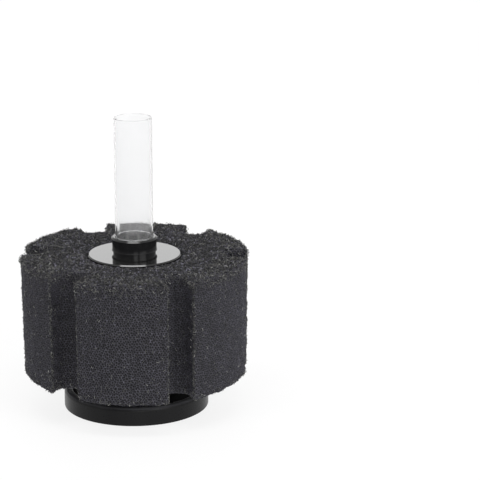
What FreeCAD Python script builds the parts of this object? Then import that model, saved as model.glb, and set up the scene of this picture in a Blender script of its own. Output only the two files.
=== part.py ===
"""Air-driven aquarium sponge filter: a weighted dish, a slotted core, a six-lobed foam, and a lift tube.

Frame: millimetres, origin at the centre of the base's underside, +Z up along the lift tube.
One foam lobe is centred on -Y. Each piece is written to parts/NAME.step.
"""

import FreeCAD, Part
import math
import os

V = FreeCAD.Vector
UP = V(0, 0, 1)
CENTRE = V(0, 0, 0)

# ---- Driving dimensions ------------------------------------------------------------------
# Foam: a 4.5 inch body with round-bottomed notches that add filtering area
FOAM_TOP_RADIUS = 57.15
FOAM_FOOT_RADIUS = 56.2
FOAM_FOOT_Z = 19.0
FOAM_HEIGHT = 60.8
LOBES = 6
NOTCH_WIDTH = 13.6
NOTCH_FLOOR_RADIUS = 44.5
NOTCH_FLOOR_ROUND = 5.5
LOBE_CORNER_ROUND = 1.0
DISC_SEAT_GAP = 0.2

# Lift tube: 3/4 inch clear tube, its socketed end turned down to leave a shoulder
TUBE_RADIUS = 19.05 / 2
TUBE_WALL = 0.8
TUBE_SHOULDER = 0.3
TUBE_TOP_Z = 149.0
TUBE_LIP = 0.25

# Weighted base
BASE_RADIUS = 36.7
BASE_HEIGHT = 9.2
DISH_RADIUS = 32.5
DISH_FLOOR_Z = 7.0
SKIN = 1.3
DISH_FILLET = 0.8
DISH_WALL_STEP = 0.6
RIM_OUTER_ROUND = 1.8
RIM_INNER_ROUND = 0.9
FOOT_ROUND = 0.4
PLATE_RADIUS = 35.6
PLATE_THICKNESS = 1.6
GASKET_THICKNESS = 0.4
POST_RADIUS = 11.5
POST_WALL = 2.5
POST_TOP_Z = 16.9
POST_TOP_ROUND = 0.6
POST_FLOOR_Z = 8.6
POST_HOLLOW_RADIUS = 8.7
GUSSETS = 6
GUSSET_REACH = 9.0
GUSSET_RISE = 6.0
GUSSET_TOE = 0.6
GUSSET_THICKNESS = 1.6
BALLAST_GAP = 0.3
BALLAST_HOLE_GAP = 0.5
BALLAST_ROUND = 0.6

# Screws that hold the base's bottom plate
SCREWS = 4
PILOT_RADIUS = 0.8
PILOT_DEPTH = 6.2
CLEARANCE_RADIUS = 1.05
GASKET_HOLE_RADIUS = 1.1
SCREW_RADIUS = 0.75
SCREW_FOOT_Z = 0.02
SCREW_HEAD_RADIUS = 1.5
SCREW_NECK_RADIUS = 0.95
SCREW_HEAD_HEIGHT = 0.75
SCREW_SHANK_Z = 0.5
SCREW_SHANK_LENGTH = 5.2
SCREW_SLOT = (1.8, 0.3, 0.35)
COUNTERSINK_RADIUS = 1.6
COUNTERSINK_DEPTH = 0.8

# Slotted core
CORE_RADIUS = 13.5
CORE_WALL = 1.8
CORE_TOP_Z = 77.6
FLANGE_RADIUS = 23.5
FLANGE_THICKNESS = 1.7
FLANGE_ROUND = 0.5
FOOT_BORE_RADIUS = 7.5
FOOT_SLEEVE_HEIGHT = 3.0
CAGE_HEIGHT = 20.3
CAGE_BAND = 2.9
CAGE_RIBS = 4
CAGE_RIB_WIDTH = 4.0
SLOT_ROWS = 4
SLOT_HEIGHT = 2.6
JOINT_REACH = 2.6
JOINT_WALL = 1.3
HEAD_ROUND = 0.5
LEDGE_RADIUS = 8.9
LEDGE_HEIGHT = 3.0

# Disc and collar on top of the foam
DISC_THICKNESS = 1.5
DISC_TOP_Z = 79.25
DISC_BEVEL = 0.6
DISC_FOOT_ROUND = 0.4
COLLAR_TOP_Z = 88.2
COLLAR_RADIUS = 11.15
COLLAR_STEP_RADIUS = 10.7
COLLAR_STEP_HEIGHT = 1.75
COLLAR_BEAD = 0.25
COLLAR_BEAD_HEIGHT = 0.6
COLLAR_BEAD_ROUND = 0.2
COLLAR_LIP_RADIUS = 11.6
COLLAR_LIP_HEIGHT = 1.2
LIP_BEVEL = 0.9
LIP_FOOT_ROUND = 0.25
MOUTH_ROUND = 0.8
SPIGOT_RADIUS = 10.15
SPIGOT_FOOT_Z = 66.0
SPIGOT_ROUND = 0.4
TUBE_STOP_Z = 79.5

# Seals: round cord in square grooves
SEAL_CORD_RADIUS = 0.42
SEAL_GROOVE_DEPTH = 0.86
TUBE_SEAL_Z = COLLAR_TOP_Z - 4.2
SPIGOT_SEAL_Z = 72.0

# Air inlet inside the core
NIPPLE_RADIUS = 2.5
NIPPLE_TOP_Z = 77.9
NIPPLE_CHAMFER = 0.4
AIR_BORE_RADIUS = 1.1
STEM_RADIUS = 1.9
STEM_DROP = 4.4
HUB_ARMS = 4
HUB_ARM_LENGTH = 9.2
HUB_ARM_WIDTH = 1.6
HUB_ARM_HEIGHT = 2.6
BOSS_RADIUS = 3.6
BOSS_RISE = 4.0
BOSS_DROP = 1.2
BOSS_ROUND = 0.6
CUP_HEIGHT = 7.0
CUP_ROUND = 0.8
CUP_WALL = 1.0
CUP_LID = 1.2
BUBBLE_HOLES = 8
BUBBLE_HOLE_RADIUS = 0.45
BUBBLE_ROWS = ((2.0, 0.0), (3.8, 22.5))

# Gaps: FIT is a close sliding fit, EASY lets one body pass another freely
FIT = 0.1
EASY = 0.4
SEAT = 0.05

# How far a cutting tool runs past the face it cuts
OVERRUN = 1.0

# ---- Derived heights and radii -----------------------------------------------------------
FOAM_TOP_Z = FOAM_FOOT_Z + FOAM_HEIGHT
FOAM_BORE_RADIUS = CORE_RADIUS + EASY
FLANGE_TOP_Z = FOAM_FOOT_Z - FIT
FLANGE_FOOT_Z = FLANGE_TOP_Z - FLANGE_THICKNESS
CAGE_INNER_RADIUS = CORE_RADIUS - CORE_WALL
SLEEVE_RADIUS = CAGE_INNER_RADIUS - SEAT
LOWER_CAGE_Z = FLANGE_TOP_Z
UPPER_CAGE_Z = LOWER_CAGE_Z + CAGE_HEIGHT
HEAD_Z = UPPER_CAGE_Z + CAGE_HEIGHT
HEAD_BORE_RADIUS = SPIGOT_RADIUS + FIT
HUB_Z = HEAD_Z + LEDGE_HEIGHT
BOSS_FOOT_Z = HUB_Z - BOSS_DROP
BOSS_TOP_Z = HUB_Z + BOSS_RISE
HUB_RING_TOP_Z = SPIGOT_FOOT_Z - FIT
TUBE_END_RADIUS = TUBE_RADIUS - TUBE_SHOULDER
SOCKET_RADIUS = TUBE_END_RADIUS + FIT
DISC_FOOT_Z = DISC_TOP_Z - DISC_THICKNESS
CHAMBER_RADIUS = DISH_RADIUS - DISH_WALL_STEP
CHAMBER_FOOT_Z = PLATE_THICKNESS + GASKET_THICKNESS
CHAMBER_TOP_Z = DISH_FLOOR_Z - SKIN
SCREW_CIRCLE_RADIUS = (CHAMBER_RADIUS + PLATE_RADIUS) / 2
SOCKET_BORE_RADIUS = POST_RADIUS - POST_WALL
TUBE_BORE_RADIUS = TUBE_RADIUS - TUBE_WALL
COLLAR_BORE_RADIUS = TUBE_BORE_RADIUS - TUBE_SHOULDER


# ---- Shape helpers -----------------------------------------------------------------------
def rod(radius, z0, z1):
    """A solid cylinder on the tube's axis."""
    return Part.makeCylinder(radius, z1 - z0, V(0, 0, z0))


def ring(outer, inner, z0, z1):
    """A plain tube on the axis."""
    return rod(outer, z0, z1).cut(rod(inner, z0, z1))


def fused(shapes):
    """One solid from touching or overlapping shapes."""
    first, *rest = shapes
    return first.multiFuse(rest).removeSplitter() if rest else first


def circle_edges(shape, radius, z):
    """The round edges of that radius at that height."""
    found = []
    for edge in shape.Edges:
        curve = edge.Curve
        if isinstance(curve, Part.Circle) and abs(curve.Radius - radius) < 1e-3:
            if abs(curve.Center.z - z) < 1e-3:
                found.append(edge)
    return found


def rounded(shape, cuts):
    """Rounds the edges named by (radius, z, fillet)."""
    for radius, z, fillet in cuts:
        shape = shape.makeFillet(fillet, circle_edges(shape, radius, z))
    return shape


def spread(shape, count, start=0.0):
    """Copies of a shape turned evenly about the axis."""
    copies = []
    for i in range(count):
        copy = shape.copy()
        copy.rotate(CENTRE, UP, start + 360.0 * i / count)
        copies.append(copy)
    return copies


def o_ring(ring_radius, cord_radius, z):
    """A round seal lying level."""
    return Part.makeTorus(ring_radius, cord_radius, V(0, 0, z), UP)


# ---- Weighted base -----------------------------------------------------------------------
def screw_places():
    """The screw centres in the base's rim, one in each quarter."""
    for i in range(SCREWS):
        angle = math.radians(360 / SCREWS * (i + 0.5))
        yield SCREW_CIRCLE_RADIUS * math.cos(angle), SCREW_CIRCLE_RADIUS * math.sin(angle)


def drilled(shape, radius, z0, z1):
    """The shape with a hole at each screw centre."""
    for x, y in screw_places():
        shape = shape.cut(Part.makeCylinder(radius, z1 - z0, V(x, y, z0)))
    return shape


def gusset():
    """One upright web from the socket post out across the dish's floor."""
    root = POST_RADIUS - OVERRUN
    toe = POST_RADIUS + GUSSET_REACH
    foot = DISH_FLOOR_Z - SKIN / 2
    peak = DISH_FLOOR_Z + GUSSET_RISE
    profile = [
        (root, foot),
        (toe, foot),
        (toe, DISH_FLOOR_Z + GUSSET_TOE),
        (POST_RADIUS, peak),
        (root, peak),
        (root, foot),
    ]
    outline = Part.makePolygon([V(x, -GUSSET_THICKNESS / 2, z) for x, z in profile])
    return Part.Face(outline).extrude(V(0, GUSSET_THICKNESS, 0))


def base_shell():
    """The dish: rounded rim, recessed floor, socket post with gussets, and a chamber underneath."""
    body = rod(BASE_RADIUS, 0, BASE_HEIGHT).cut(rod(DISH_RADIUS, DISH_FLOOR_Z, BASE_HEIGHT))
    body = rounded(body, [
        (BASE_RADIUS, BASE_HEIGHT, RIM_OUTER_ROUND),
        (DISH_RADIUS, BASE_HEIGHT, RIM_INNER_ROUND),
        (BASE_RADIUS, 0, FOOT_ROUND),
        (DISH_RADIUS, DISH_FLOOR_Z, DISH_FILLET),
    ])
    post = rod(POST_RADIUS, DISH_FLOOR_Z - SKIN / 2, POST_TOP_Z)
    post = rounded(post, [(POST_RADIUS, POST_TOP_Z, POST_TOP_ROUND)])
    body = fused([body, post] + spread(gusset(), GUSSETS))
    socket = rod(SOCKET_BORE_RADIUS, POST_FLOOR_Z, POST_TOP_Z)
    plate_seat = rod(PLATE_RADIUS + FIT, 0, CHAMBER_FOOT_Z)
    chamber = rod(CHAMBER_RADIUS, 0, CHAMBER_TOP_Z)
    post_hollow = rod(POST_HOLLOW_RADIUS, 0, POST_FLOOR_Z - SKIN)
    for hollow in [socket, plate_seat, chamber, post_hollow]:
        body = body.cut(hollow)
    return drilled(body, PILOT_RADIUS, 0, PILOT_DEPTH).removeSplitter()


def ballast_ring():
    """The iron weight that keeps the filter on the tank's floor."""
    outer = CHAMBER_RADIUS - BALLAST_GAP
    top = CHAMBER_TOP_Z - FIT
    weight = ring(outer, POST_RADIUS + BALLAST_HOLE_GAP, CHAMBER_FOOT_Z, top)
    return rounded(weight, [(outer, top, BALLAST_ROUND)])


def base_gasket():
    """A flat seal between the dish and its bottom plate, with screw holes."""
    gasket = ring(PLATE_RADIUS, CHAMBER_RADIUS + SEAT, PLATE_THICKNESS, CHAMBER_FOOT_Z)
    return drilled(gasket, GASKET_HOLE_RADIUS, PLATE_THICKNESS, CHAMBER_FOOT_Z)


def base_plate():
    """The bottom cover that closes the ballast chamber; its countersinks take the screws."""
    plate = drilled(rod(PLATE_RADIUS, 0, PLATE_THICKNESS), CLEARANCE_RADIUS, 0, PLATE_THICKNESS)
    for x, y in screw_places():
        sink = Part.makeCone(COUNTERSINK_RADIUS, CLEARANCE_RADIUS, COUNTERSINK_DEPTH, V(x, y, 0))
        plate = plate.cut(sink)
    return plate


def base_screws():
    """The countersunk screws with cross slots, as separate solids in one piece."""
    length, width, depth = SCREW_SLOT
    screws = []
    for x, y in screw_places():
        head = Part.makeCone(SCREW_HEAD_RADIUS, SCREW_NECK_RADIUS, SCREW_HEAD_HEIGHT, V(x, y, SCREW_FOOT_Z))
        shank = Part.makeCylinder(SCREW_RADIUS, SCREW_SHANK_LENGTH, V(x, y, SCREW_SHANK_Z))
        screw = head.fuse(shank)
        for turn in (0, 90):
            slot = Part.makeBox(length, width, depth, V(-length / 2, -width / 2, SCREW_FOOT_Z))
            slot.rotate(CENTRE, UP, turn)
            slot.translate(V(x, y, 0))
            screw = screw.cut(slot)
        screws.append(screw.removeSplitter())
    return Part.makeCompound(screws)


# ---- Slotted core ------------------------------------------------------------------------
def core_foot():
    """The lower flange under the foam, its spigot into the base post, and a sleeve for the cage."""
    sleeve_top = FLANGE_TOP_Z + FOOT_SLEEVE_HEIGHT
    flange = rod(FLANGE_RADIUS, FLANGE_FOOT_Z, FLANGE_TOP_Z)
    flange = rounded(flange, [(FLANGE_RADIUS, FLANGE_FOOT_Z, FLANGE_ROUND)])
    spigot = rod(SOCKET_BORE_RADIUS - FIT, POST_FLOOR_Z + EASY, FLANGE_FOOT_Z)
    sleeve = rod(SLEEVE_RADIUS, FLANGE_TOP_Z, sleeve_top)
    body = fused([flange, spigot, sleeve])
    return body.cut(rod(FOOT_BORE_RADIUS, POST_FLOOR_Z, sleeve_top))


def cage(z0):
    """One slotted strainer section: rows of windows between upright ribs."""
    body = ring(CORE_RADIUS, CAGE_INNER_RADIUS, z0, z0 + CAGE_HEIGHT)
    pitch = (CAGE_HEIGHT - 2 * CAGE_BAND - SLOT_HEIGHT) / (SLOT_ROWS - 1)
    rib_angle = 2 * math.degrees(math.asin(CAGE_RIB_WIDTH / 2 / CORE_RADIUS))
    opening = 360.0 / CAGE_RIBS - rib_angle
    for row in range(SLOT_ROWS):
        z = z0 + CAGE_BAND + row * pitch
        wedge = Part.makeCylinder(CORE_RADIUS + OVERRUN, SLOT_HEIGHT, V(0, 0, z), UP, opening)
        for window in spread(wedge, CAGE_RIBS, 45 - opening / 2):
            body = body.cut(window)
    return body


def cage_joint():
    """The inner sleeve that locates one cage section on the other."""
    foot = UPPER_CAGE_Z - JOINT_REACH
    return ring(SLEEVE_RADIUS, SLEEVE_RADIUS - JOINT_WALL, foot, UPPER_CAGE_Z + JOINT_REACH)


def core_head():
    """The plain top ring that takes the collar's spigot, with a ledge for the air hub."""
    body = rod(CORE_RADIUS, HEAD_Z, CORE_TOP_Z)
    body = rounded(body, [(CORE_RADIUS, CORE_TOP_Z, HEAD_ROUND)])
    body = body.fuse(rod(SLEEVE_RADIUS, HEAD_Z - JOINT_REACH, HEAD_Z))
    body = body.cut(rod(HEAD_BORE_RADIUS, HUB_Z, CORE_TOP_Z))
    return body.cut(rod(LEDGE_RADIUS, HEAD_Z - JOINT_REACH, HUB_Z)).removeSplitter()


def air_hub():
    """A four-armed spider that holds the air nipple in the middle of the water path."""
    rim = ring(HEAD_BORE_RADIUS - SEAT, LEDGE_RADIUS, HUB_Z, HUB_RING_TOP_Z)
    arm = Part.makeBox(HUB_ARM_LENGTH, HUB_ARM_WIDTH, HUB_ARM_HEIGHT, V(0, -HUB_ARM_WIDTH / 2, HUB_Z))
    boss = rounded(rod(BOSS_RADIUS, BOSS_FOOT_Z, BOSS_TOP_Z), [(BOSS_RADIUS, BOSS_TOP_Z, BOSS_ROUND)])
    body = fused([rim, boss] + spread(arm, HUB_ARMS, 45))
    return body.cut(rod(STEM_RADIUS + SEAT, BOSS_FOOT_Z, BOSS_TOP_Z))


def air_nipple():
    """The hollow hose tail: the airline pushes on above the hub, the stem passes through it."""
    body = rod(NIPPLE_RADIUS, BOSS_TOP_Z, NIPPLE_TOP_Z)
    body = body.makeChamfer(NIPPLE_CHAMFER, circle_edges(body, NIPPLE_RADIUS, NIPPLE_TOP_Z))
    body = body.fuse(rod(STEM_RADIUS, HUB_Z - STEM_DROP, BOSS_TOP_Z)).removeSplitter()
    return body.cut(rod(AIR_BORE_RADIUS, HUB_Z - STEM_DROP, NIPPLE_TOP_Z))


def bubbler_cup():
    """A closed cup under the hub whose small holes break the air into bubbles."""
    foot = BOSS_FOOT_Z - CUP_HEIGHT
    lid = BOSS_FOOT_Z - CUP_LID
    body = rounded(rod(BOSS_RADIUS, foot, BOSS_FOOT_Z), [(BOSS_RADIUS, foot, CUP_ROUND)])
    body = body.cut(rod(BOSS_RADIUS - CUP_WALL, foot + CUP_WALL, lid))
    body = body.cut(rod(STEM_RADIUS + SEAT, lid, BOSS_FOOT_Z))
    for rise, start in BUBBLE_ROWS:
        reach = BOSS_RADIUS + OVERRUN
        drill = Part.makeCylinder(BUBBLE_HOLE_RADIUS, reach, V(0, 0, foot + rise), V(1, 0, 0))
        for hole in spread(drill, BUBBLE_HOLES, start):
            body = body.cut(hole)
    return body


# ---- Foam --------------------------------------------------------------------------------
def notch():
    """The cutter for one notch, pointing along +X, with a rounded floor."""
    depth = FOAM_TOP_RADIUS - NOTCH_FLOOR_RADIUS + 5 * OVERRUN
    corner = V(NOTCH_FLOOR_RADIUS, -NOTCH_WIDTH / 2, FOAM_FOOT_Z - OVERRUN)
    block = Part.makeBox(depth, NOTCH_WIDTH, FOAM_HEIGHT + 2 * OVERRUN, corner)
    inner = [e for e in block.Edges if is_upright(e) and e.BoundBox.XMax < NOTCH_FLOOR_RADIUS + OVERRUN]
    return block.makeFillet(NOTCH_FLOOR_ROUND, inner)


def foam():
    """The lobed block: a slight taper, six notches, a bore for the core and a seat for the disc."""
    body = Part.makeCone(FOAM_FOOT_RADIUS, FOAM_TOP_RADIUS, FOAM_HEIGHT, V(0, 0, FOAM_FOOT_Z))
    for cutter in spread(notch(), LOBES):
        body = body.cut(cutter)
    lobe_corners = [e for e in body.Edges if is_upright(e) and edge_radius(e) > FOAM_FOOT_RADIUS - 1]
    body = body.makeFillet(LOBE_CORNER_ROUND, lobe_corners)
    body = body.cut(rod(FOAM_BORE_RADIUS, FOAM_FOOT_Z - OVERRUN, FOAM_TOP_Z + OVERRUN))
    return body.cut(rod(FLANGE_RADIUS + EASY, DISC_FOOT_Z - DISC_SEAT_GAP, FOAM_TOP_Z + OVERRUN))


def is_upright(edge):
    """True for an edge that runs nearly the whole height of the foam."""
    return edge.BoundBox.ZLength > FOAM_HEIGHT - OVERRUN


def edge_radius(edge):
    """How far an edge's middle lies from the axis."""
    middle = edge.valueAt((edge.FirstParameter + edge.LastParameter) / 2)
    return math.hypot(middle.x, middle.y)


# ---- Disc, collar and lift tube ----------------------------------------------------------
def top_disc():
    """The flange that holds the foam down, clamped under the collar's step."""
    body = rod(FLANGE_RADIUS, DISC_FOOT_Z, DISC_TOP_Z)
    body = rounded(body, [(FLANGE_RADIUS, DISC_FOOT_Z, DISC_FOOT_ROUND)])
    body = body.makeChamfer(DISC_BEVEL, circle_edges(body, FLANGE_RADIUS, DISC_TOP_Z))
    return body.cut(rod(SPIGOT_RADIUS + SEAT, DISC_FOOT_Z, DISC_TOP_Z))


def collar_outside():
    """The collar before it is bored: spigot, step, sleeve with a bead at its foot, and bevelled lip."""
    step_top = DISC_TOP_Z + COLLAR_STEP_HEIGHT
    lip_foot = COLLAR_TOP_Z - COLLAR_LIP_HEIGHT
    bead_top = step_top + COLLAR_BEAD_HEIGHT
    bead_radius = COLLAR_RADIUS + COLLAR_BEAD
    body = fused([
        rod(SPIGOT_RADIUS, SPIGOT_FOOT_Z, DISC_TOP_Z),
        rod(COLLAR_STEP_RADIUS, DISC_TOP_Z, step_top),
        rod(bead_radius, step_top, bead_top),
        rod(COLLAR_RADIUS, bead_top, lip_foot),
        rod(COLLAR_LIP_RADIUS, lip_foot, COLLAR_TOP_Z),
    ])
    body = rounded(body, [
        (SPIGOT_RADIUS, SPIGOT_FOOT_Z, SPIGOT_ROUND),
        (bead_radius, step_top, COLLAR_BEAD_ROUND),
        (bead_radius, bead_top, COLLAR_BEAD_ROUND),
        (COLLAR_LIP_RADIUS, lip_foot, LIP_FOOT_ROUND),
    ])
    return body.makeChamfer(LIP_BEVEL, circle_edges(body, COLLAR_LIP_RADIUS, COLLAR_TOP_Z))


def tube_collar():
    """The socket for the lift tube, with a flared mouth and grooves for both seals."""
    body = collar_outside()
    body = body.cut(rod(COLLAR_BORE_RADIUS, SPIGOT_FOOT_Z, COLLAR_TOP_Z))
    body = body.cut(rod(SOCKET_RADIUS, TUBE_STOP_Z, COLLAR_TOP_Z))
    body = rounded(body, [(SOCKET_RADIUS, COLLAR_TOP_Z, MOUTH_ROUND)])
    half = SEAL_CORD_RADIUS + SEAT
    tube_groove_radius = SOCKET_RADIUS + SEAL_GROOVE_DEPTH
    spigot_groove_radius = SPIGOT_RADIUS - SEAL_GROOVE_DEPTH
    body = body.cut(ring(tube_groove_radius, SOCKET_RADIUS - FIT, TUBE_SEAL_Z - half, TUBE_SEAL_Z + half))
    groove = ring(SPIGOT_RADIUS + OVERRUN, spigot_groove_radius, SPIGOT_SEAL_Z - half, SPIGOT_SEAL_Z + half)
    return body.cut(groove)


def tube_seal():
    """The small seal in the socket that grips the lift tube."""
    return o_ring(TUBE_END_RADIUS + SEAT + SEAL_CORD_RADIUS, SEAL_CORD_RADIUS, TUBE_SEAL_Z)


def spigot_seal():
    """The small seal between the collar's spigot and the core's head."""
    return o_ring(HEAD_BORE_RADIUS - SEAT - SEAL_CORD_RADIUS, SEAL_CORD_RADIUS, SPIGOT_SEAL_Z)


def lift_tube():
    """The clear riser: full diameter above the collar, turned down inside it."""
    foot = rod(TUBE_END_RADIUS, TUBE_STOP_Z + SEAT, COLLAR_TOP_Z + SEAT)
    body = fused([foot, rod(TUBE_RADIUS, COLLAR_TOP_Z + SEAT, TUBE_TOP_Z)])
    body = body.cut(rod(TUBE_BORE_RADIUS, TUBE_STOP_Z, TUBE_TOP_Z))
    return rounded(body, [(TUBE_RADIUS, TUBE_TOP_Z, TUBE_LIP)])


# ---- All the pieces ----------------------------------------------------------------------
PIECES = {
    "base_shell": base_shell,
    "ballast_ring": ballast_ring,
    "base_gasket": base_gasket,
    "base_plate": base_plate,
    "base_screws": base_screws,
    "core_foot": core_foot,
    "cage_lower": lambda: cage(LOWER_CAGE_Z),
    "cage_joint": cage_joint,
    "cage_upper": lambda: cage(UPPER_CAGE_Z),
    "core_head": core_head,
    "air_hub": air_hub,
    "air_nipple": air_nipple,
    "bubbler_cup": bubbler_cup,
    "foam": foam,
    "top_disc": top_disc,
    "tube_collar": tube_collar,
    "tube_seal": tube_seal,
    "spigot_seal": spigot_seal,
    "lift_tube": lift_tube,
}

os.makedirs("parts", exist_ok=True)
for name, make in PIECES.items():
    solid = make()
    if not solid.isValid():
        raise ValueError(f"{name} isn't a valid solid")
    solid.exportStep(f"parts/{name}.step")
    print(f"{name}: {len(solid.Solids)} solid(s), {solid.Volume / 1000:.2f} cm3")
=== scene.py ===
"""Looks for the air-driven sponge filter: open-pored foam as meshes, and a material for every piece.

The frame is the CAD model's: metres, origin at the centre of the base's underside, +Z up the lift tube.
"""

import math

import bpy
import numpy as np
from mathutils import Matrix, Vector, geometry, kdtree


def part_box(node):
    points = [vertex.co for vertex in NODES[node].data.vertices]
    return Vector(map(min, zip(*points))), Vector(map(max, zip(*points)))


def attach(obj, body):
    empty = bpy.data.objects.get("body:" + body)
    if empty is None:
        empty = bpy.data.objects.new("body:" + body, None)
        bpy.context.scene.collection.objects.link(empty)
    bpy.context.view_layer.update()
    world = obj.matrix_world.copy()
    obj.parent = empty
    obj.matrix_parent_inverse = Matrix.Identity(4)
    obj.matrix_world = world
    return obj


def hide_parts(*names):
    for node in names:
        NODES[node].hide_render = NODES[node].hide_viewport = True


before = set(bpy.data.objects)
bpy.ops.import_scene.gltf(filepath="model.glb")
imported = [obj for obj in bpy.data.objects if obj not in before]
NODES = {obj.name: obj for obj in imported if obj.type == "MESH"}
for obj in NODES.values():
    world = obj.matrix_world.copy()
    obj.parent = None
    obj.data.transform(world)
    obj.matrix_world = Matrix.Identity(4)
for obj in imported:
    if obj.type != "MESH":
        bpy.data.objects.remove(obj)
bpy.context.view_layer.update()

MM = 0.001

# ---- Foam sizes, in millimetres, as in the CAD model ----------------------------------------
LOBES = 6
FOAM_TOP_RADIUS = 57.15
FOAM_FOOT_RADIUS = 56.2
NOTCH_FLOOR_RADIUS = 44.5
NOTCH_FLOOR_ROUND = 5.5
BORE_RADIUS = 13.9
RECESS_RADIUS = 23.9
RECESS_DEPTH = 2.2
FOAM_FOOT_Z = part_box("foam")[0].z / MM
FOAM_TOP_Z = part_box("foam")[1].z / MM
FOAM_HEIGHT = FOAM_TOP_Z - FOAM_FOOT_Z

# ---- How the block was cut and how it sits, in millimetres and degrees ----------------------
# Each notch: its direction, half its width, and the rounds of the lobes' corners before and after it
NOTCHES = [
    (0.6, 6.0, 0.5, 0.5), (59.4, 7.3, 0.5, 0.5), (119.0, 8.0, 0.5, 0.5),
    (180.6, 6.5, 4.0, 0.5), (236.8, 8.4, 0.5, 0.5), (298.9, 6.8, 0.5, 0.5),
]
OUTLINE_STEP = 0.1
EDGE_RADIUS = 1.7           # of the wall's rolled top and foot edges
STRAIGHT = FOAM_HEIGHT - 2 * EDGE_RADIUS    # height of the wall between its rolled edges
QUARTER = EDGE_RADIUS * math.pi / 2         # length round a rolled edge
EDGE_LAP = 0.6              # how far the wall runs on, flat, past its rolled edges
FACE_LAP = 0.45             # how far the top and the underside run out over the rolled edges
BORE_GAP = 0.3              # between the underside and the bore's wall
SAG = 1.9                   # how much lower the block hangs on one side
SAG_DIRECTION = 290
DISC_PRESS = 1.6            # how far the disc presses the top down
DISC_PRESS_REACH = 5.0
CLEAR_OF_PARTS = 0.08       # the most that the texture rises where another part is close
DISC_CLEAR = 0.5            # how far out round the disc's recess it is kept as low as that

# ---- Pores, in millimetres ------------------------------------------------------------------
PORE_PITCH = 1.28           # of the walls
TOP_PITCH = 1.42
COARSE_PITCH = 1.75         # of the hidden faces
ROW_SPACING = 0.866         # share of the pitch
SCATTER = 0.36              # how far a pore may stray, as a share of the pitch
SPARE = 4                   # pores are also laid this far past a sheet's border, so that its own are whole
FOOT_SPARE = 5
SEAM_SHARE = 0.9            # of the pitch: a closed wall's last column stops this short of its first
PORE_DEPTH = 1.0
DEPTH_SPREAD = (0.65, 1.3)
BOTTOM_LEAN = 0.12          # how far a pore's bottom strays, as a share of the pitch
RIDGE_SHARE = 0.36          # how far the ridge between pores reaches in to a pore's middle
RIDGE_DROP = 0.22           # how far the ridge's inner edge lies below its crest
RIDGE_DROP_SPREAD = 0.15
RIDGE_PAINTED_SHADE = 0.45          # the inner edge's place between crest (0) and bottom (1) in the pores' painted shade
CREST_JITTER = 0.3          # how far the crests stand up or down, times the sheet's relief
WALL_RELIEF = 0.75
TOP_RELIEF = 1.7
WAVE_HEIGHT = 0.2
WAVE_LENGTH = 9.0
WAVE_SEED = 5

# Spread of the shades, and the most that one may be times the plain colour
WALL_TONES = 0.26
# The top's tones are random, but spread far wider than the walls' to paint glints of light on its struts
TOP_TONES_AND_GLINTS = 1.5
STRUT_TONES = 0.6
TONE_LIMIT = 5.0

# ---- Loose struts that stand clear of the sheet, in millimetres -----------------------------
STRUT_RINGS = 4
STRUT_SECTION = [           # sideways, upward, and place across the strut's strip of the baking map
    (1, -0.5, 0.0), (-1, -0.5, 0.5), (0, 1.0, 1.0),
]
STRUT_SIDES = len(STRUT_SECTION)
STRUT_WIDTH = (0.07, 0.12)
STRUT_SINK = 0.15           # how far a strut's feet are sunk in the ridges
STRUT_SWAY = 0.3
STRUT_TAPER = 0.6           # of a cut end
LEAST_LIFT = 0.25           # share of the height that a strut may have
FREE_SHARE = 0.35           # of the struts that are cut ends
FREE_REACH = 0.35
WALL_CHANCE, EDGE_CHANCE, CORNER_CHANCE = 0.025, 0.22, 0.5
WALL_LIFT, EDGE_LIFT = 0.45, 0.8
TOP_EDGE_REACH, FOOT_EDGE_REACH, FOOT_EDGE_SHARE = 2.5, 2.0, 0.4
CORNER_STRIP = (0.02, 1.5)  # how far in from the lobes' radius a corner's struts stand
TOP_CHANCE, RIM_CHANCE = 0.09, 0.11
TOP_LIFT, RIM_LIFT = 0.7, 0.5
BARE_RING = 1.5             # round the disc, with no struts
UV_BAND = 0.2               # share of the baking map that the struts take
UV_FILL = 0.98
UV_INSET = 0.1

# ---- Base, in millimetres -------------------------------------------------------------------
DISH_RADIUS = 32.5
# Where a paler band is painted along the rim's top, a painted highlight
RIM_HIGHLIGHT_RADII = (33.2, 33.9)
RIM_HIGHLIGHT_HEIGHTS = (8.1, 8.8)

# ---- Camera and lights, in metres, degrees and watts ----------------------------------------
CAMERA_AZIMUTH = 5.8
CAMERA_ELEVATION = 19.427
CAMERA_ROLL = 0.914
CAMERA_DISTANCE = 1.1845
CAMERA_LENS = 172.87        # millimetres, like the sensor's width
SENSOR_WIDTH = 36
AIM_RIGHT = 0.04482         # how far right of the base's centre it aims, as a share of the distance
AIM_UP = 0.07020
SKY_STRENGTH = 0.76
FLOOR_REACH = 4
FLOOR_GLOW = 0.83
LIGHTS = [                  # name, place, aim, width and height, power
    ("overhead", (0, -0.37, 1.2), (0, 0, 0.05), (0.9, 0.25), 4.8),
    ("behind", (-0.2, 1.9, 0.75), (0, 0, 0.08), (1.0, 1.0), 4),
    ("front", (0.3, -1.35, 0.42), (0, 0, 0.05), (0.5, 0.5), 2.4),
    ("side", (1.05, -0.86, 0.71), (0, 0, 0.05), (0.9, 0.9), 7.3),
]


# ---- Mesh helpers ---------------------------------------------------------------------------
def new_object(name, mesh):
    """Links a mesh to the scene under that name."""
    obj = bpy.data.objects.new(name, mesh)
    bpy.context.scene.collection.objects.link(obj)
    return obj


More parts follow.
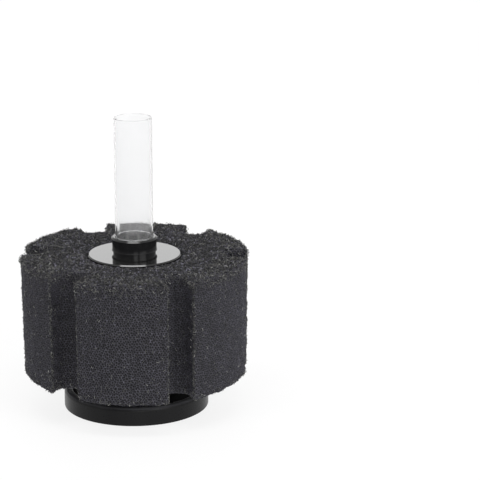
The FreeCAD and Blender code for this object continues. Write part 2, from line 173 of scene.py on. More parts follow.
def mesh_from_arrays(name, points_mm, corners, sizes):
    """A mesh from vertices in mm, a flat list of face corners, and the number of corners of each face."""
    mesh = bpy.data.meshes.new(name)
    mesh.vertices.add(len(points_mm))
    mesh.vertices.foreach_set("co", (points_mm * MM).astype(np.float32).ravel())
    mesh.loops.add(len(corners))
    mesh.loops.foreach_set("vertex_index", corners.astype(np.int32))
    mesh.polygons.add(len(sizes))
    starts = np.concatenate([[0], np.cumsum(sizes)[:-1]])
    mesh.polygons.foreach_set("loop_start", starts.astype(np.int32))
    mesh.polygons.foreach_set("loop_total", sizes.astype(np.int32))
    mesh.polygons.foreach_set("use_smooth", np.ones(len(sizes), bool))
    mesh.update(calc_edges=True)
    mesh.validate()
    return mesh


def add_uvs(mesh, uv_of_vertex):
    """A neat map for baking, from one (u, v) for each vertex."""
    layer = mesh.uv_layers.new(name="OFBake")
    index = np.zeros(len(mesh.loops), np.int32)
    mesh.loops.foreach_get("vertex_index", index)
    layer.data.foreach_set("uv", uv_of_vertex[index].astype(np.float32).ravel())


# ---- Foam outline ---------------------------------------------------------------------------
def line_points(start, end):
    """Points along a straight line, about a step apart, without its end."""
    count = max(2, round(math.dist(start, end) / OUTLINE_STEP))
    share = np.arange(count)[:, None] / count
    return np.array(start) * (1 - share) + np.array(end) * share


def arc_points(centre, radius, start, end):
    """Points along an arc, about a step apart, without its end."""
    count = max(2, round(abs(end - start) * radius / OUTLINE_STEP))
    turn = start + np.arange(count) / count * (end - start)
    return np.array(centre) + radius * np.c_[np.cos(turn), np.sin(turn)]


def half_notch(half_width, outer):
    """One side of a notch that points along +X, from the middle of its floor round to the outer circle."""
    inner = min(NOTCH_FLOOR_ROUND, half_width - 0.1)
    corner_y = half_width + outer
    corner_x = math.sqrt((FOAM_TOP_RADIUS - outer) ** 2 - corner_y ** 2)
    bottom = NOTCH_FLOOR_RADIUS + inner
    return np.vstack([
        line_points((NOTCH_FLOOR_RADIUS, 0), (NOTCH_FLOOR_RADIUS, half_width - inner)),
        arc_points((bottom, half_width - inner), inner, math.pi, math.pi / 2),
        line_points((bottom, half_width), (corner_x, half_width)),
        arc_points((corner_x, corner_y), outer, -math.pi / 2, math.atan2(corner_y, corner_x)),
    ])


def turned(points, angle):
    """Points turned about the axis."""
    return points @ np.array([[math.cos(angle), math.sin(angle)], [-math.sin(angle), math.cos(angle)]])


def foam_outline():
    """The whole lobed outline at the top, one row each OUTLINE_STEP, from the middle of the first notch."""
    parts = []
    for i, (direction, half_width, _, corner) in enumerate(NOTCHES):
        after, after_half_width, after_corner, _ = NOTCHES[(i + 1) % LOBES]
        here, there = math.radians(direction), math.radians(after + (360 if i == LOBES - 1 else 0))
        side, next_side = half_notch(half_width, corner), half_notch(after_half_width, after_corner)
        leave = here + math.atan2(side[-1, 1], side[-1, 0])
        arrive = there - math.atan2(next_side[-1, 1], next_side[-1, 0])
        parts.append(turned(side, here))
        parts.append(arc_points((0, 0), FOAM_TOP_RADIUS, leave, arrive))
        parts.append(turned(next_side[::-1] * (1, -1), there))
    return evenly_spaced(np.vstack(parts))


def evenly_spaced(points):
    """A closed line again, with its rows one step apart."""
    closed = np.vstack([points, points[:1]])
    along = np.r_[0, np.cumsum(np.linalg.norm(np.diff(closed, axis=0), axis=1))]
    place = np.linspace(0, along[-1], round(along[-1] / OUTLINE_STEP), endpoint=False)
    return np.c_[np.interp(place, along, closed[:, 0]), np.interp(place, along, closed[:, 1])]


def at_foot(outline):
    """The same line at the foot, where the lobes stand out a little less."""
    r = np.linalg.norm(outline, axis=1)
    taper = (FOAM_FOOT_RADIUS - NOTCH_FLOOR_RADIUS) / (FOAM_TOP_RADIUS - NOTCH_FLOOR_RADIUS)
    return outline * ((NOTCH_FLOOR_RADIUS + (r - NOTCH_FLOOR_RADIUS) * taper) / r)[:, None]


TOP_OUTLINE = foam_outline()
FOOT_OUTLINE = at_foot(TOP_OUTLINE)
GIRTH = len(TOP_OUTLINE) * OUTLINE_STEP


def outline_normals(outline):
    """Outward unit normals of a closed line that runs counter-clockwise."""
    along = np.roll(outline, -3, axis=0) - np.roll(outline, 3, axis=0)
    normal = np.c_[along[:, 1], -along[:, 0]]
    return normal / np.linalg.norm(normal, axis=1, keepdims=True)


TOP_NORMALS = outline_normals(TOP_OUTLINE)
FOOT_NORMALS = outline_normals(FOOT_OUTLINE)


def along_outline(table, s):
    """Rows of a closed table at distances s along it, between its rows."""
    place = np.mod(s, GIRTH) / OUTLINE_STEP
    low = np.floor(place).astype(int) % len(table)
    high = (low + 1) % len(table)
    share = (place - np.floor(place))[:, None]
    return table[low] * (1 - share) + table[high] * share


# ---- Cell pattern ---------------------------------------------------------------------------
def scattered(low, high, pitch, rng):
    """Points spread evenly but irregularly over a rectangle."""
    rows = int((high[1] - low[1]) / (pitch * ROW_SPACING)) + 1
    columns = int((high[0] - low[0]) / pitch) + 1
    j, i = np.mgrid[0:rows, 0:columns]
    x = low[0] + (i + 0.5 * (j % 2)) * pitch
    y = low[1] + j * pitch * ROW_SPACING
    points = np.c_[x.ravel(), y.ravel()]
    return points + rng.uniform(-SCATTER, SCATTER, points.shape) * pitch


def cells_around(points, wanted):
    """The cell round each wanted point, its corners in order.

    Returns every junction of the pattern, and for each corner the cell it belongs to and its junction.
    """
    coords = [Vector(p) for p in points.tolist()]
    found = geometry.delaunay_2d_cdt(coords, [], [], 0, 1e-9, True)
    where = np.array([(v.x, v.y) for v in found[0]])
    origin = np.array([ids[0] for ids in found[3]])
    triangles = np.array(found[2])
    junctions = where[triangles].mean(axis=1)
    cell = origin[triangles].ravel()
    junction = np.repeat(np.arange(len(triangles)), 3)
    keep = wanted[cell]
    cell, junction = cell[keep], junction[keep]
    away = junctions[junction] - points[cell]
    order = np.lexsort((np.arctan2(away[:, 1], away[:, 0]), cell))
    return junctions, cell[order], junction[order]


def next_in_cell(cell):
    """For each corner, the index of the next corner round the same cell."""
    following = np.arange(1, len(cell) + 1)
    first = np.r_[True, cell[1:] != cell[:-1]]
    last = np.r_[first[1:], True]
    following[last] = np.flatnonzero(first)
    return following


def waves(points, count=9):
    """Smooth unevenness between about -1 and 1, the same for all sheets."""
    rng = np.random.default_rng(WAVE_SEED)
    total = np.zeros(len(points))
    for _ in range(count):
        direction = rng.normal(size=points.shape[1])
        direction *= 2 * math.pi / (WAVE_LENGTH * rng.uniform(0.7, 1.5)) / np.linalg.norm(direction)
        total += np.sin(points @ direction + rng.uniform(0, 2 * math.pi))
    return total / math.sqrt(count)


def uneven(rng, spread, count):
    """Random shades about one, above zero and up to the limit."""
    return np.minimum(np.exp(rng.normal(-spread * spread / 2, spread, count)), TONE_LIMIT)


def add_attribute(mesh, name, values):
    """One number for each vertex, for the material to read."""
    mesh.attributes.new(name, "FLOAT", "POINT").data.foreach_set("value", values.astype(np.float32))


def pore_sheet(name, points, wanted, place, pitch, rng, fuzz, relief=1.0, tones=WALL_TONES):
    """A sheet of open pores, one round each wanted point.

    place(flat, rise) turns flat points and a rise along the normal into 3-D points. fuzz(flat) gives the
    chance of a loose strut at flat points, and how high it may stand.
    """
    junctions, cell, junction = cells_around(points, wanted)
    used, junction = np.unique(junction, return_inverse=True)
    crest = junctions[used]
    cells, cell_index = np.unique(cell, return_inverse=True)
    centre = points[cells]
    following = next_in_cell(cell)

    # Points: the junctions' crests, each ridge's inner edge, and the pores' bottoms
    lean = rng.uniform(-BOTTOM_LEAN, BOTTOM_LEAN, centre.shape) * pitch
    inner = crest[junction] * (1 - RIDGE_SHARE) + centre[cell_index] * RIDGE_SHARE
    crest_rise = rng.uniform(-1, 1, len(crest)) * CREST_JITTER * relief
    inner_rise = crest_rise[junction] - RIDGE_DROP - rng.uniform(0, RIDGE_DROP_SPREAD, len(inner))
    bottom_rise = -PORE_DEPTH * rng.uniform(*DEPTH_SPREAD, len(centre))
    flat = np.vstack([crest, inner, centre + lean])
    rise = np.r_[crest_rise, inner_rise, bottom_rise]
    rise += waves(place(flat, np.zeros(len(flat)))) * WAVE_HEIGHT

    # Faces: four-cornered down the ridges, three-cornered down to the bottoms
    first_inner = len(crest)
    first_bottom = first_inner + len(inner)
    here = np.arange(len(cell))
    quads = np.c_[junction, junction[following], first_inner + following, first_inner + here]
    fans = np.c_[first_inner + here, first_inner + following, first_bottom + cell_index]

    # What the material reads: painted shade that darkens the ridges' inner edges and the pores' bottoms, and
    # random tones
    painted_pit_shade = np.r_[np.zeros(len(crest)), np.full(len(inner), RIDGE_PAINTED_SHADE), np.ones(len(centre))]
    crest_tone = uneven(rng, tones, len(crest))
    cell_tone = uneven(rng, tones, len(centre))
    inner_tone = np.sqrt(crest_tone[junction]) * cell_tone[cell_index]
    tone = np.r_[crest_tone, inner_tone, np.ones(len(centre))]

    across = junction[following[following[following]]]
    loose = loose_struts(crest, np.c_[junction, across], place, rise[:len(crest)], rng, fuzz)
    strut_points, strut_quads, strut_caps, strut_uv, strut_tone = loose
    quads = np.vstack([quads, strut_quads + len(flat)])
    fans = np.vstack([fans, strut_caps + len(flat)])
    corners = np.r_[quads.ravel(), fans.ravel()]
    sizes = np.r_[np.full(len(quads), 4), np.full(len(fans), 3)]
    mesh = mesh_from_arrays(name, np.vstack([place(flat, rise), strut_points]), corners, sizes)
    # The pore attribute is painted shade on the sheet, and -1 on loose struts for the ramp's palest colour, a
    # painted highlight
    add_attribute(mesh, "pore", np.r_[painted_pit_shade, np.full(len(strut_points), -1.0)])
    add_attribute(mesh, "tone", np.r_[tone, strut_tone])
    low, high = flat.min(axis=0), flat.max(axis=0)
    sheet_uv = (flat - low) / (high - low).max() * (UV_FILL - UV_BAND)
    add_uvs(mesh, np.vstack([sheet_uv, strut_uv]))
    return new_object(name, mesh)


def loose_struts(crest, pairs, place, rise, rng, fuzz):
    """Three-sided struts clear of the sheet: most arch over a pore, the rest are cut ends that stand up.

    Returns their points, side faces, end caps, baking coordinates and tones. pairs holds the junctions that
    a strut may join.
    """
    chance, height = fuzz((crest[pairs[:, 0]] + crest[pairs[:, 1]]) / 2)
    chosen = rng.uniform(size=len(pairs)) < chance
    start, end = pairs[chosen].T
    count = len(start)
    lift = height[chosen] * rng.uniform(LEAST_LIFT, 1.0, count)
    free = rng.uniform(size=count) < FREE_SHARE
    reach = np.where(free[:, None], rng.normal(0, FREE_REACH, (count, 2)), crest[end] - crest[start])
    heading = reach / np.maximum(np.linalg.norm(reach, axis=1, keepdims=True), 1e-6)
    sideways = np.c_[-heading[:, 1], heading[:, 0]]
    sway = rng.uniform(-STRUT_SWAY, STRUT_SWAY, count)
    width = rng.uniform(*STRUT_WIDTH, count)
    far_rise = np.where(free, rise[start] + lift + STRUT_SINK, rise[end])
    arch = np.where(free, 0, lift + STRUT_SINK)

    # Each strut has a small square of its own in the baking map's upper band
    columns = max(1, math.ceil(math.sqrt(count / UV_BAND)))
    column, row = np.arange(count) % columns, np.arange(count) // columns
    inside = 1 - 2 * UV_INSET
    flats, rises, uvs = [], [], []
    for ring in range(STRUT_RINGS):
        t = ring / (STRUT_RINGS - 1)
        bow = math.sin(math.pi * t)
        along = crest[start] + reach * t + sideways * (sway * bow)[:, None]
        up = rise[start] * (1 - t) + far_rise * t - STRUT_SINK + arch * bow
        thick = width * np.where(free, 1 - STRUT_TAPER * t, 1.0)
        for side, above, v in STRUT_SECTION:
            flats.append(along + sideways * (thick * side)[:, None])
            rises.append(up + thick * above)
            uvs.append(np.c_[column + UV_INSET + inside * t, columns - row - UV_INSET - inside * v] / columns)

    def nth(n):
        """Every strut's point number n."""
        return np.arange(count) + count * n

    quads = []
    for ring in range(STRUT_RINGS - 1):
        for side in range(STRUT_SIDES):
            a = STRUT_SIDES * ring + side
            b = STRUT_SIDES * ring + (side + 1) % STRUT_SIDES
            quads.append(np.c_[nth(a), nth(b), nth(b + STRUT_SIDES), nth(a + STRUT_SIDES)])
    last = STRUT_SIDES * (STRUT_RINGS - 1)
    caps = [np.c_[nth(2), nth(1), nth(0)], np.c_[nth(last), nth(last + 1), nth(last + 2)]]
    tone = np.tile(uneven(rng, STRUT_TONES, count), STRUT_SIDES * STRUT_RINGS)
    points = place(np.vstack(flats), np.concatenate(rises))
    return points, np.vstack(quads), np.vstack(caps), np.vstack(uvs), tone


# ---- Foam pieces ----------------------------------------------------------------------------
def settled(points):
    """Points of the block let down where it sags, more towards the rim and nothing at the core."""
    r = np.linalg.norm(points[:, :2], axis=1)
    low = math.radians(SAG_DIRECTION)
    towards = np.maximum(points[:, :2] @ (math.cos(low), math.sin(low)), 0) / np.maximum(r, 1)
    outward = np.clip((r - RECESS_RADIUS) / (FOAM_FOOT_RADIUS - RECESS_RADIUS), 0, 1)
    return points - np.c_[np.zeros((len(r), 2)), SAG * outward * towards ** 1.5]


def wall_place(flat, rise):
    """(distance round the outline, distance up the wall): the wall rolls over at its top and foot edges."""
    s, w = flat[:, 0], flat[:, 1]
    up = np.clip(w, 0, STRAIGHT)
    over = np.clip(w - STRAIGHT, 0, QUARTER) / EDGE_RADIUS
    under = np.clip(-w, 0, QUARTER) / EDGE_RADIUS
    lap = np.maximum(w - STRAIGHT - QUARTER, 0) + np.maximum(-w - QUARTER, 0)
    bend = over - under
    inset = EDGE_RADIUS * (1 - np.cos(bend)) + lap
    z = FOAM_FOOT_Z + EDGE_RADIUS + up + EDGE_RADIUS * np.sin(bend)
    share = ((z - FOAM_FOOT_Z) / FOAM_HEIGHT)[:, None]
    line = along_outline(FOOT_OUTLINE, s) * (1 - share) + along_outline(TOP_OUTLINE, s) * share
    normal = along_outline(FOOT_NORMALS, s) * (1 - share) + along_outline(TOP_NORMALS, s) * share
    outward = np.cos(bend) * rise - inset
    return settled(np.c_[line + normal * outward[:, None], z + np.sin(bend) * rise])


def top_place(flat, rise):
    """The top face: flat, pressed down round the disc, then down the disc's recess and across its floor."""
    r = np.linalg.norm(flat, axis=1)
    down = np.clip(RECESS_RADIUS - r, 0, RECESS_DEPTH)
    shown = np.maximum(r, RECESS_RADIUS) - np.maximum(RECESS_RADIUS - RECESS_DEPTH - r, 0)
    press = DISC_PRESS * np.exp(-np.maximum(r - RECESS_RADIUS, 0) / DISC_PRESS_REACH)
    rise = np.where(r < RECESS_RADIUS + DISC_CLEAR, np.minimum(rise, CLEAR_OF_PARTS), rise)
    wall = (down > 0) & (down < RECESS_DEPTH)
    out = shown - np.where(wall, rise, 0)
    z = FOAM_TOP_Z - press - down * (RECESS_DEPTH - DISC_PRESS) / RECESS_DEPTH + np.where(wall, 0, rise)
    return settled(np.c_[flat / r[:, None] * out[:, None], z])


def foot_place(flat, rise):
    """The underside; the flat X is mirrored so that the sheet faces down."""
    return settled(np.c_[-flat[:, 0], flat[:, 1], FOAM_FOOT_Z - np.minimum(rise, CLEAR_OF_PARTS)])


def bore_place(flat, rise):
    """The bore's wall, facing the axis."""
    turn = -flat[:, 0] / BORE_RADIUS
    r = BORE_RADIUS - np.minimum(rise, CLEAR_OF_PARTS)
    return np.c_[np.cos(turn) * r, np.sin(turn) * r, flat[:, 1]]


def distance_inside(outline, points):
    """How far each point lies inside the outline; negative outside."""
    tree = kdtree.KDTree(len(outline))
    for i, (x, y) in enumerate(outline):
        tree.insert((x, y, 0), i)
    tree.balance()
    normals = outline_normals(outline)
    result = np.empty(len(points))
    for n, (x, y) in enumerate(points):
        near, i, gap = tree.find((x, y, 0))
        away = (x - near.x) * normals[i][0] + (y - near.y) * normals[i][1]
        result[n] = -gap if away > 0 else gap
    return result


def wrapped(field, girth, margin):
    """Points over a closed wall, with those near its seam repeated past both ends."""
    field = np.vstack([field, field + (girth, 0), field - (girth, 0)])
    return field[(field[:, 0] > -margin) & (field[:, 0] < girth + margin)]


def foam_lobes():
    """The outer walls as one sheet for each lobe, from notch to notch."""
    rng = np.random.default_rng(11)
    low = -(QUARTER + EDGE_LAP)
    high = STRAIGHT - low
    margin = 3 * PORE_PITCH
    pitch = GIRTH / round(GIRTH / PORE_PITCH)
    field = scattered((0, low - margin), (GIRTH - pitch * SEAM_SHARE, high + margin), pitch, rng)
    field = wrapped(field, GIRTH, margin)
    span = GIRTH / LOBES
    pieces = []
    for i in range(LOBES):
        start, end = i * span, (i + 1) * span
        part = field[(field[:, 0] > start - margin) & (field[:, 0] < end + margin)]
        wanted = (part[:, 0] >= start) & (part[:, 0] < end) & (part[:, 1] > low) & (part[:, 1] < high)
        rng = np.random.default_rng(20 + i)
        pieces.append(pore_sheet(
            f"foam_lobe_{i + 1}", part, wanted, wall_place, pitch, rng, wall_fuzz, WALL_RELIEF, WALL_TONES))
    return pieces


def wall_fuzz(flat):
    """Loose struts stand closer and taller near the cut edges, and closer at the lobes' upright corners."""
    near = np.exp(-((flat[:, 1] - STRAIGHT) / TOP_EDGE_REACH) ** 2)
    near += FOOT_EDGE_SHARE * np.exp(-(flat[:, 1] / FOOT_EDGE_REACH) ** 2)
    inward = FOAM_TOP_RADIUS - np.linalg.norm(along_outline(TOP_OUTLINE, flat[:, 0]), axis=1)
    corner = (inward > CORNER_STRIP[0]) & (inward < CORNER_STRIP[1])
    return WALL_CHANCE + EDGE_CHANCE * near + CORNER_CHANCE * corner, WALL_LIFT + EDGE_LIFT * near


def top_fuzz(flat):
    """Loose struts all over the top, more and taller out at the rim, none beside the disc."""
    r = np.linalg.norm(flat, axis=1)
    rim = r > NOTCH_FLOOR_RADIUS
    return (r > RECESS_RADIUS + BARE_RING) * (TOP_CHANCE + RIM_CHANCE * rim), TOP_LIFT + RIM_LIFT * rim


def no_fuzz(flat):
    """Nothing stands up where another part is close."""
    return np.zeros(len(flat)), np.zeros(len(flat))


def face_field(outline, radius, hole, pitch, rng, spare=SPARE, mirror=1):
    """Points over a lobed face, how far inside its outline each one is, and how far from the axis."""
    reach = radius + 3
    points = scattered((-reach, -reach), (reach, reach), pitch, rng)
    inside = distance_inside(outline, points * (mirror, 1))
    r = np.linalg.norm(points, axis=1)
    near = (inside > -spare) & (r > hole - SPARE)
    return points[near], inside[near], r[near]


def foam_top():
    """The top face with the disc's recess."""
    rng = np.random.default_rng(12)
    hole = BORE_RADIUS - RECESS_DEPTH
    points, inside, r = face_field(TOP_OUTLINE, FOAM_TOP_RADIUS, hole, TOP_PITCH, rng)
    wanted = (inside > EDGE_RADIUS - FACE_LAP) & (r > hole)
    return pore_sheet("foam_top", points, wanted, top_place, TOP_PITCH, rng, top_fuzz, TOP_RELIEF, TOP_TONES_AND_GLINTS)


def foam_underside():
    """The bottom face, mostly hidden over the base."""
    rng = np.random.default_rng(13)
    points, inside, r = face_field(
        FOOT_OUTLINE, FOAM_FOOT_RADIUS, BORE_RADIUS, COARSE_PITCH, rng, FOOT_SPARE, mirror=-1)
    wanted = (inside > EDGE_RADIUS - FACE_LAP) & (r > BORE_RADIUS + BORE_GAP)
    return pore_sheet("foam_underside", points, wanted, foot_place, COARSE_PITCH, rng, no_fuzz)


def foam_bore():
    """The wall of the bore round the core."""
    rng = np.random.default_rng(14)
    girth = 2 * math.pi * BORE_RADIUS
    pitch = girth / round(girth / COARSE_PITCH)
    low, high = FOAM_FOOT_Z, FOAM_TOP_Z - RECESS_DEPTH
    field = scattered((0, low - SPARE), (girth - pitch * SEAM_SHARE, high + SPARE), pitch, rng)
    field = wrapped(field, girth, SPARE)
    wanted = (field[:, 0] >= 0) & (field[:, 0] < girth) & (field[:, 1] > low) & (field[:, 1] < high)
    return pore_sheet("foam_bore", field, wanted, bore_place, pitch, rng, no_fuzz)


# ---- Material helpers -----------------------------------------------------------------------
class Shader:
    """A node tree with one Principled shader and short ways to add to it."""

    def __init__(self, name):
        self.material = bpy.data.materials.new(name)
        self.material.use_nodes = True
        self.tree = self.material.node_tree
        self.tree.nodes.clear()
        output = self.tree.nodes.new("ShaderNodeOutputMaterial")
        self.bsdf = self.tree.nodes.new("ShaderNodeBsdfPrincipled")
        self.tree.links.new(self.bsdf.outputs[0], output.inputs["Surface"])
        self.coords = self.tree.nodes.new("ShaderNodeTexCoord").outputs["Object"]

    def fixed(self, **sockets):
        """Uniform values on the shader's own sockets; underscores stand for spaces."""
        for name, value in sockets.items():
            self.bsdf.inputs[name.replace("_", " ")].default_value = value
        return self

    def noise(self, scale, detail=4.0, roughness=0.55, stretch=None):
        """A noise value; scale is in features per metre."""
        node = self.tree.nodes.new("ShaderNodeTexNoise")
        node.inputs["Scale"].default_value = scale
        node.inputs["Detail"].default_value = detail
        node.inputs["Roughness"].default_value = roughness
        self.tree.links.new(self.stretched(stretch), node.inputs["Vector"])
        return node.outputs[0]

    def stretched(self, stretch):
        """Object coordinates, scaled along the axes when stretch is given."""
        if stretch is None:
            return self.coords
        node = self.tree.nodes.new("ShaderNodeMapping")
        node.inputs["Scale"].default_value = stretch
        self.tree.links.new(self.coords, node.inputs["Vector"])
        return node.outputs[0]

    def span(self, value, from_low, from_high, to_low, to_high):
        """A value carried from one range to another, clamped."""
        node = self.tree.nodes.new("ShaderNodeMapRange")
        self.tree.links.new(value, node.inputs["Value"])
        for name, number in zip(("From Min", "From Max", "To Min", "To Max"),
                                (from_low, from_high, to_low, to_high)):
            node.inputs[name].default_value = number
        return node.outputs[0]

    def spread(self, noise, low=0.0, high=1.0):
        """A noise value, which lies mostly between 0.3 and 0.7, carried to low...high."""
        return self.span(noise, 0.3, 0.7, low, high)

    def radius(self):
        """Distance from the tube's axis, in mm."""
        level = self.tree.nodes.new("ShaderNodeVectorMath")
        level.operation = "MULTIPLY"
        level.inputs[1].default_value = (1 / MM, 1 / MM, 0)
        self.tree.links.new(self.coords, level.inputs[0])
        length = self.tree.nodes.new("ShaderNodeVectorMath")
        length.operation = "LENGTH"
        self.tree.links.new(level.outputs[0], length.inputs[0])
        return length.outputs["Value"]

    def height(self):
        """Height above the base's underside, in mm."""
        split = self.tree.nodes.new("ShaderNodeSeparateXYZ")
        self.tree.links.new(self.coords, split.inputs[0])
        return self.maths("DIVIDE", split.outputs["Z"], MM)

    def maths(self, operation, *values):
        """Arithmetic on values, each a socket or a number."""
        node = self.tree.nodes.new("ShaderNodeMath")
        node.operation = operation
        for i, value in enumerate(values):
            if isinstance(value, (int, float)):
                node.inputs[i].default_value = value
            else:
                self.tree.links.new(value, node.inputs[i])
        return node.outputs[0]

    def ramp(self, value, stops):
        """A colour ramp from (place, colour) stops."""
        node = self.tree.nodes.new("ShaderNodeValToRGB")
        elements = node.color_ramp.elements
        while len(elements) < len(stops):
            elements.new(0.5)
        for element, (place, colour) in zip(elements, stops):
            element.position = place
            element.color = (*colour, 1)
        self.tree.links.new(value, node.inputs[0])
        return node.outputs[0]

    def mix(self, share, a, b):
        """Two colours mixed; each is a socket or an (r, g, b)."""
        node = self.tree.nodes.new("ShaderNodeMix")
        node.data_type = "RGBA"
        self.tree.links.new(share, node.inputs[0])
        for socket, value in ((node.inputs[6], a), (node.inputs[7], b)):
            if isinstance(value, tuple):
                socket.default_value = (*value, 1)
            else:
                self.tree.links.new(value, socket)
        return node.outputs[2]

    def attribute(self, name):
        """A number stored on the mesh's vertices."""
        node = self.tree.nodes.new("ShaderNodeAttribute")
        node.attribute_name = name
        return node.outputs["Fac"]

    def tinted(self, colour, factor):
        """A colour times a factor, which may be above one."""
        node = self.tree.nodes.new("ShaderNodeVectorMath")
        node.operation = "SCALE"
        self.tree.links.new(colour, node.inputs[0])
        self.tree.links.new(factor, node.inputs["Scale"])
        return node.outputs[0]

    def bump(self, height, strength, distance_mm):
        """Relief from a height value."""
        node = self.tree.nodes.new("ShaderNodeBump")
        node.inputs["Strength"].default_value = strength
        node.inputs["Distance"].default_value = distance_mm * MM
        self.tree.links.new(height, node.inputs["Height"])
        self.tree.links.new(node.outputs[0], self.bsdf.inputs["Normal"])

    def drive(self, socket, value):
        """Links a value to one of the shader's sockets."""
        self.tree.links.new(value, self.bsdf.inputs[socket])


def foam_material():
    """Charcoal polyurethane foam: painted shade dark in the pores, struts of uneven tone, loose ones palest
    as a painted highlight.
    """
    s = Shader("foam_charcoal").fixed(Roughness=0.62, IOR=1.5, Specular_IOR_Level=0.35)
    pore = s.attribute("pore")
    # The ramp paints shade, near black at the pores' bottoms, and a highlight, palest on the loose struts
    body = s.ramp(s.span(pore, -1.0, 1.0, 0.0, 1.0), [
        (0.0, (0.112, 0.111, 0.104)),
        (0.5, (0.050, 0.0485, 0.062)),
        (0.72, (0.0125, 0.012, 0.0152)),
        (1.0, (0.003, 0.003, 0.0035)),
    ])
    mottle = s.spread(s.noise(160, 3.0), 0.85, 1.15)
    speckle = s.spread(s.noise(1400, 2.0), 0.75, 1.25)
    shade = s.maths("MULTIPLY", s.maths("MULTIPLY", mottle, speckle), s.attribute("tone"))
    s.drive("Base Color", s.tinted(body, shade))
    s.bump(s.noise(2600, 3.0), 0.5, 0.15)
    return s.material


def plastic(name, colour, roughness, gloss, grain_mm, relief_mm):
    """Black moulded plastic: fine grain, faint flow marks, and a little wear in the shine."""
    s = Shader(name).fixed(IOR=1.46, Specular_IOR_Level=gloss)
    flow = s.noise(60, 3.0, 0.5, (1, 1, 0.35))
    grain = s.noise(1 / (grain_mm * MM), 3.0)
    lighter = tuple(min(1.0, c * 1.6 + 0.002) for c in colour)
    s.drive("Base Color", s.ramp(s.spread(flow), [(0.0, colour), (1.0, lighter)]))
    rough = s.maths("ADD", s.spread(flow, -0.04, 0.05), s.spread(grain, -0.03, 0.03))
    s.drive("Roughness", s.maths("ADD", rough, roughness))
    s.bump(grain, 0.35, relief_mm)
    return s.material


def base_material():
    """The base's black plastic: satin outside; matt down in the dish and darker there as painted shade; a
    paler band along the rim as a painted highlight.
    """
    s = Shader("base_satin_black").fixed(IOR=1.46, Specular_IOR_Level=0.16)
    flow = s.noise(60, 3.0, 0.5, (1, 1, 0.35))
    grain = s.noise(2000, 3.0)
    outside = s.span(s.radius(), DISH_RADIUS - 0.4, DISH_RADIUS + 0.3, 0.0, 1.0)
    tone = s.ramp(s.spread(flow), [(0.0, (0.0065, 0.0065, 0.007)), (1.0, (0.0095, 0.0095, 0.010))])
    # A paler band along the top of the rim: a painted highlight
    high_up = s.span(s.height(), *RIM_HIGHLIGHT_HEIGHTS, 0.0, 1.0)
    far_out = s.span(s.radius(), *RIM_HIGHLIGHT_RADII, 0.0, 1.0)
    painted_rim_highlight = s.maths("MULTIPLY", s.maths("MULTIPLY", high_up, far_out), s.span(flow, 0.35, 0.6, 0.6, 1.0))
    tone = s.mix(painted_rim_highlight, tone, (0.075, 0.075, 0.08))
    # Inside the dish the colour is near black: painted shade under the sponge
    s.drive("Base Color", s.mix(outside, (0.0035, 0.0035, 0.004), tone))
    matt = s.maths("MULTIPLY_ADD", outside, -0.55, 0.85)
    matt = s.maths("MULTIPLY_ADD", painted_rim_highlight, -0.1, matt)
    s.drive("Roughness", s.maths("ADD", matt, s.spread(grain, -0.04, 0.04)))
    s.bump(grain, 0.35, 0.01)
    return s.material


def clear_material():
    """Clear extruded acrylic, slightly hazy, with faint draw lines along the tube."""
    s = Shader("clear_acrylic").fixed(IOR=1.49, Transmission_Weight=0.93)
    lines = s.noise(900, 2.0, 0.5, (1, 1, 0.02))
    s.drive("Base Color", s.ramp(lines, [(0.3, (0.972, 0.973, 0.978)), (0.7, (0.99, 0.991, 0.995))]))
    s.drive("Roughness", s.spread(lines, 0.01, 0.05))
    s.bump(lines, 0.12, 0.02)
    return s.material


def iron_material():
    """Cast iron ballast: coarse sand-cast skin with a few rust spots."""
    s = Shader("cast_iron").fixed(Metallic=0.9)
    sand = s.noise(900, 6.0, 0.65)
    spots = s.noise(150, 4.0)
    iron = s.ramp(sand, [(0.3, (0.10, 0.098, 0.095)), (0.7, (0.24, 0.235, 0.23))])
    s.drive("Base Color", s.mix(s.span(spots, 0.58, 0.68, 0.0, 0.8), iron, (0.17, 0.07, 0.03)))
    s.drive("Roughness", s.spread(sand, 0.5, 0.8))
    s.bump(sand, 0.8, 0.2)
    return s.material


def rubber_material():
    """Black seal rubber with a dusty bloom."""
    s = Shader("seal_rubber").fixed(IOR=1.5)
    bloom = s.noise(500, 4.0)
    s.drive("Base Color", s.ramp(bloom, [(0.35, (0.012, 0.012, 0.012)), (0.7, (0.04, 0.04, 0.042))]))
    s.drive("Roughness", s.spread(bloom, 0.55, 0.8))
    s.bump(s.noise(3000, 3.0), 0.3, 0.03)
    return s.material


def steel_material():
    """Stainless screws with turned marks."""
    s = Shader("screw_steel").fixed(Metallic=1.0)
    marks = s.noise(2500, 3.0)
    s.drive("Base Color", s.ramp(marks, [(0.3, (0.46, 0.45, 0.44)), (0.7, (0.68, 0.67, 0.65))]))
    s.drive("Roughness", s.spread(marks, 0.22, 0.4))
    s.bump(marks, 0.3, 0.02)
    return s.material


# ---- Scene ----------------------------------------------------------------------------------
def paint(material, *names):
    """Gives CAD nodes a material."""
    for name in names:
        slots = NODES[name].data.materials
        slots.clear()
        slots.append(material)


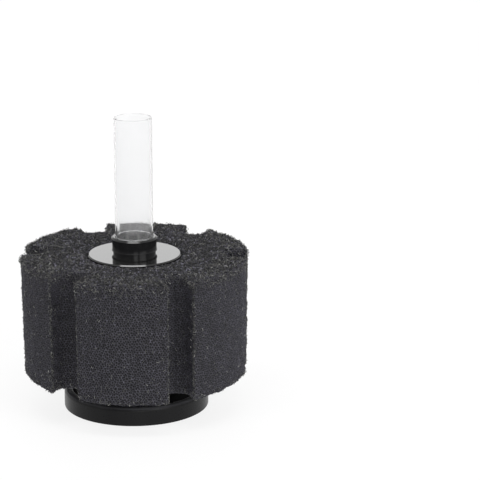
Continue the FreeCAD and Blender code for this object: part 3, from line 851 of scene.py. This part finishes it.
def add_camera():
    """A long lens in front, above, and a little to the right, aimed up and right of the base."""
    a, e = math.radians(CAMERA_AZIMUTH), math.radians(CAMERA_ELEVATION)
    back = Vector((math.sin(a) * math.cos(e), -math.cos(a) * math.cos(e), math.sin(e)))
    right = Vector((math.cos(a), math.sin(a), 0))
    up = back.cross(right)
    facing = Matrix((right, up, back)).transposed()
    roll = Matrix.Rotation(math.radians(CAMERA_ROLL), 3, "Z")
    to_base = Vector((-AIM_RIGHT, -AIM_UP, -1)).normalized()
    aim = Vector((0, 0, -1)).rotation_difference(to_base).to_matrix()
    turn = facing @ (aim @ roll).inverted()
    camera = bpy.data.objects.new("camera", bpy.data.cameras.new("camera"))
    camera.data.lens = CAMERA_LENS
    camera.data.sensor_width = SENSOR_WIDTH
    camera.matrix_world = Matrix.Translation(back * CAMERA_DISTANCE) @ turn.to_4x4()
    bpy.context.scene.collection.objects.link(camera)
    bpy.context.scene.camera = camera


def add_light(name, place, aim, size, power):
    """A soft rectangular light that the camera doesn't see; size is its width and height."""
    light = bpy.data.lights.new(name, "AREA")
    light.shape = "RECTANGLE"
    light.size, light.size_y = size
    light.energy = power
    obj = bpy.data.objects.new(name, light)
    obj.location = place
    obj.rotation_euler = (Vector(aim) - Vector(place)).to_track_quat("-Z", "Y").to_euler()
    obj.visible_camera = False
    bpy.context.scene.collection.objects.link(obj)


def add_surroundings():
    """A white sky, four soft lights (the disc mirrors the one behind), and a pale floor."""
    world = bpy.data.worlds.new("studio")
    world.use_nodes = True
    sky = world.node_tree.nodes["Background"].inputs
    sky["Color"].default_value = (1, 1, 1, 1)
    sky["Strength"].default_value = SKY_STRENGTH
    bpy.context.scene.world = world
    bpy.context.scene.view_settings.view_transform = "Standard"
    for light in LIGHTS:
        add_light(*light)
    corners = np.array([(-1, -1, 0), (1, -1, 0), (1, 1, 0), (-1, 1, 0)]) * FLOOR_REACH / MM
    mesh = mesh_from_arrays("floor", corners, np.arange(4), np.array([4]))
    floor = new_object("floor", mesh)
    s = Shader("pale_floor").fixed(Roughness=0.7, Specular_IOR_Level=0.1)
    s.fixed(Emission_Color=(1, 1, 1, 1), Emission_Strength=FLOOR_GLOW)
    s.drive("Base Color", s.ramp(s.noise(3, 2.0), [(0.3, (0.13, 0.13, 0.13)), (0.7, (0.15, 0.15, 0.15))]))
    mesh.materials.append(s.material)


def build_foam():
    """All the foam's sheets, riding on the sponge body in place of its CAD block."""
    material = foam_material()
    sheets = foam_lobes() + [foam_top(), foam_underside(), foam_bore()]
    for sheet in sheets:
        sheet.data.materials.append(material)
        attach(sheet, "sponge")
        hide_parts("foam")


def paint_nodes():
    """Materials for the pieces that keep their CAD shape."""
    base = base_material()
    core = plastic("core_black", (0.010, 0.010, 0.0105), 0.42, 0.4, 0.6, 0.02)
    disc = plastic("disc_gloss_black", (0.006, 0.006, 0.006), 0.07, 0.7, 0.9, 0.002)
    collar = plastic("collar_gloss_black", (0.006, 0.006, 0.0065), 0.14, 0.45, 0.6, 0.004)
    paint(base, "base_shell", "base_plate")
    paint(core, "core_foot", "cage_lower", "cage_joint", "cage_upper", "core_head")
    paint(core, "air_hub", "air_nipple", "bubbler_cup")
    paint(disc, "top_disc")
    paint(collar, "tube_collar")
    paint(clear_material(), "lift_tube")
    paint(iron_material(), "ballast_ring")
    paint(rubber_material(), "base_gasket", "tube_seal", "spigot_seal")
    paint(steel_material(), "base_screws")


add_camera()
add_surroundings()
build_foam()
paint_nodes()
